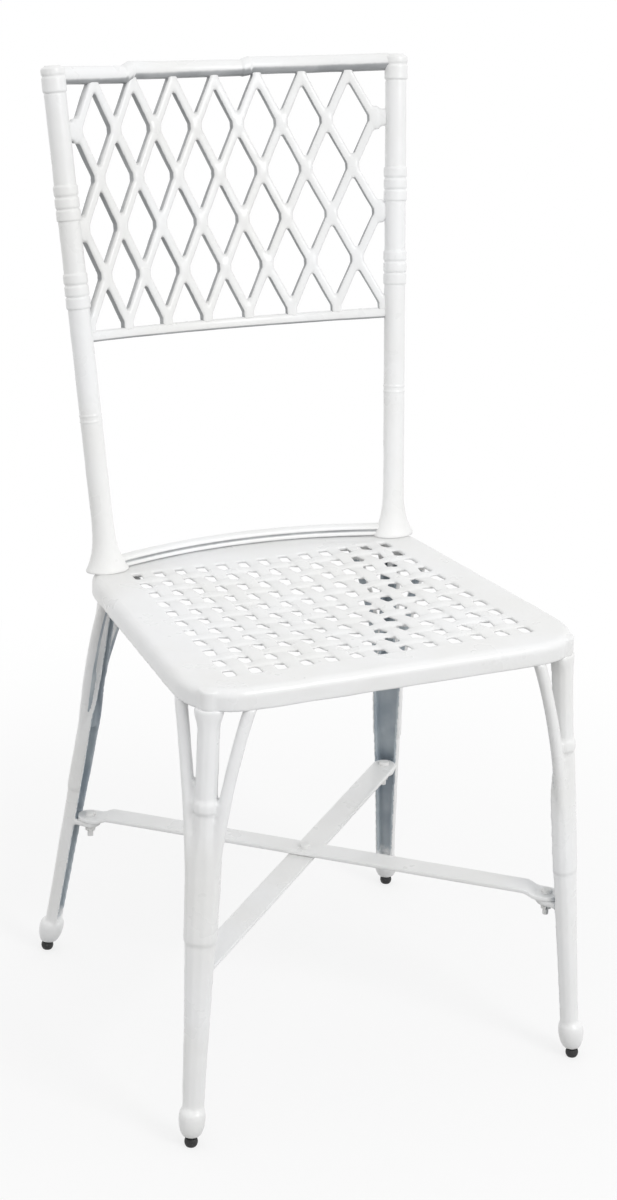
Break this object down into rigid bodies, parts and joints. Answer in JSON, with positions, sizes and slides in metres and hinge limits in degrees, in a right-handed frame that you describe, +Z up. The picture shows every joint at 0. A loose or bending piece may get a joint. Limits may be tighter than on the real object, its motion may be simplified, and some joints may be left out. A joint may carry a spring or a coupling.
{
  "type": "garden side chair",
  "caption": "White cast-aluminium garden chair in faux-bamboo style, with bowed lattice back, perforated dished seat, splayed channel legs, crossed stretchers and levelling glides.",
  "frame": {"origin": "on the floor, under the middle of the chair's box", "axes": "+Z up, the front of the seat faces -Y, +X to the right of someone looking at the front"},
  "size_m": [0.4458, 0.507, 0.9479],
  "materials": {
    "white_paint": "gloss",
    "zinc_steel": "satin",
    "black_nylon": "matte"
  },
  "bodies": {
    "chair_frame": {"seat_casting": "white_paint", "leg_front_left": "white_paint", "leg_front_right": "white_paint", "leg_rear_left": "white_paint", "leg_rear_right": "white_paint", "back_post_left": "white_paint", "back_post_right": "white_paint", "back_top_rail": "white_paint", "back_lattice": "white_paint", "back_lower_rail": "white_paint", "back_base_rail": "white_paint", "stretcher_upper": "white_paint", "stretcher_lower": "white_paint", "stretcher_end_bolts": "white_paint", "stretcher_end_washers": "white_paint", "stretcher_end_nuts": "white_paint", "stretcher_centre_bolt": "white_paint", "stretcher_centre_washer": "white_paint", "stretcher_centre_nut": "white_paint", "front_leg_screws": "zinc_steel", "rear_leg_screws": "zinc_steel", "leg_screw_washers": "zinc_steel", "base_rail_screws": "zinc_steel"},
    "glide_front_left": {"glide_stud_front_left": "zinc_steel", "glide_pad_front_left": "black_nylon"},
    "glide_front_right": {"glide_stud_front_right": "zinc_steel", "glide_pad_front_right": "black_nylon"},
    "glide_rear_left": {"glide_stud_rear_left": "zinc_steel", "glide_pad_rear_left": "black_nylon"},
    "glide_rear_right": {"glide_stud_rear_right": "zinc_steel", "glide_pad_rear_right": "black_nylon"}
  },
  "joints": [
    {"name": "glide_front_left_levelling", "type": "slide", "parent": "chair_frame", "child": "glide_front_left", "axis": [0, 0, 1], "range_m": [-0.008, 0.002]},
    {"name": "glide_front_right_levelling", "type": "slide", "parent": "chair_frame", "child": "glide_front_right", "axis": [0, 0, 1], "range_m": [-0.008, 0.002]},
    {"name": "glide_rear_left_levelling", "type": "slide", "parent": "chair_frame", "child": "glide_rear_left", "axis": [0, 0, 1], "range_m": [-0.008, 0.002]},
    {"name": "glide_rear_right_levelling", "type": "slide", "parent": "chair_frame", "child": "glide_rear_right", "axis": [0, 0, 1], "range_m": [-0.008, 0.002]}
  ]
}
